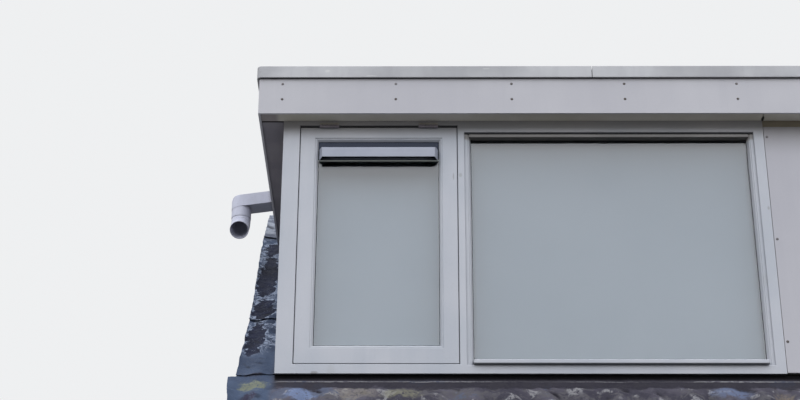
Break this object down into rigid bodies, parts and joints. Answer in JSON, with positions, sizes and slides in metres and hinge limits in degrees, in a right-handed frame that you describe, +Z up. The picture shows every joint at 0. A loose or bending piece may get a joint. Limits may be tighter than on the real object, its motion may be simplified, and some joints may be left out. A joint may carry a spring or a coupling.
{
  "type": "dormer window",
  "caption": "Flat-roofed dormer with wide window units, panelled centre, boarded roof edge, rain spout and lead flashings, cut to stand on a pitched roof.",
  "frame": {"origin": "on the bevelled seat under the front sole, in the middle of the dormer's width", "axes": "+X to the right along the front, +Y towards the back and up the roof, +Z up; the front faces -Y"},
  "size_m": [5.785, 1.8888, 1.9129],
  "materials": {
    "painted_timber": "satin white paint, weathered",
    "facing_panel": "flat laminate panel, pale grey",
    "fascia_board": "flat laminate board, pale grey",
    "soffit_board": "painted board",
    "roof_trim": "mill finish, weathered",
    "roofing_felt": "mineral felt",
    "raw_timber": "planed softwood",
    "ply": "plywood",
    "wall_panel": "insulated timber panel",
    "inner_board": "painted plasterboard",
    "glass": "clear sealed units",
    "grille_aluminium": "powder coat, weathered",
    "hinge_steel": "zinc plated",
    "blind_cloth": "pale roller-blind cloth",
    "blind_cassette": "white moulding",
    "lead": "weathered lead sheet with white bloom",
    "rain_plastic": "weathered grey pipe"
  },
  "bodies": {
    "root": {"window_frame_left": "painted_timber", "window_frame_right": "painted_timber", "casement_left": "painted_timber", "casement_right": "painted_timber", "casement_beads": "painted_timber", "fixed_beads": "painted_timber", "bottom_beads": "painted_timber", "centre_panel": "facing_panel", "cheek_claddings": "facing_panel", "fascia_front": "fascia_board", "fascia_sides": "fascia_board", "soffit_front": "soffit_board", "soffit_sides": "soffit_board", "trim_front_left": "roof_trim", "trim_front_middle": "roof_trim", "trim_front_right": "roof_trim", "trim_sides": "roof_trim", "roof_membrane": "roofing_felt", "front_sole": "raw_timber", "side_soles": "raw_timber", "rear_plate": "raw_timber", "roof_joists": "raw_timber", "roof_kerb": "raw_timber", "roof_deck": "ply", "cheek_left": "wall_panel", "cheek_right": "wall_panel", "centre_wall": "wall_panel", "inner_linings": "inner_board", "ceiling_lining": "inner_board", "casement_glass": "glass", "fixed_glass": "glass", "vent_grille_left": "grille_aluminium", "vent_grille_right": "grille_aluminium", "casement_hinges": "hinge_steel", "blind_left_casement": "blind_cloth", "blind_left_fixed": "blind_cloth", "blind_right_casement": "blind_cloth", "blind_right_fixed": "blind_cloth", "blind_cassettes": "blind_cassette", "lead_apron": "lead", "lead_side_left": "lead", "lead_side_right": "lead", "rain_outlet": "rain_plastic", "rain_bend": "rain_plastic", "rain_spout": "rain_plastic"}
  },
  "joints": []
}
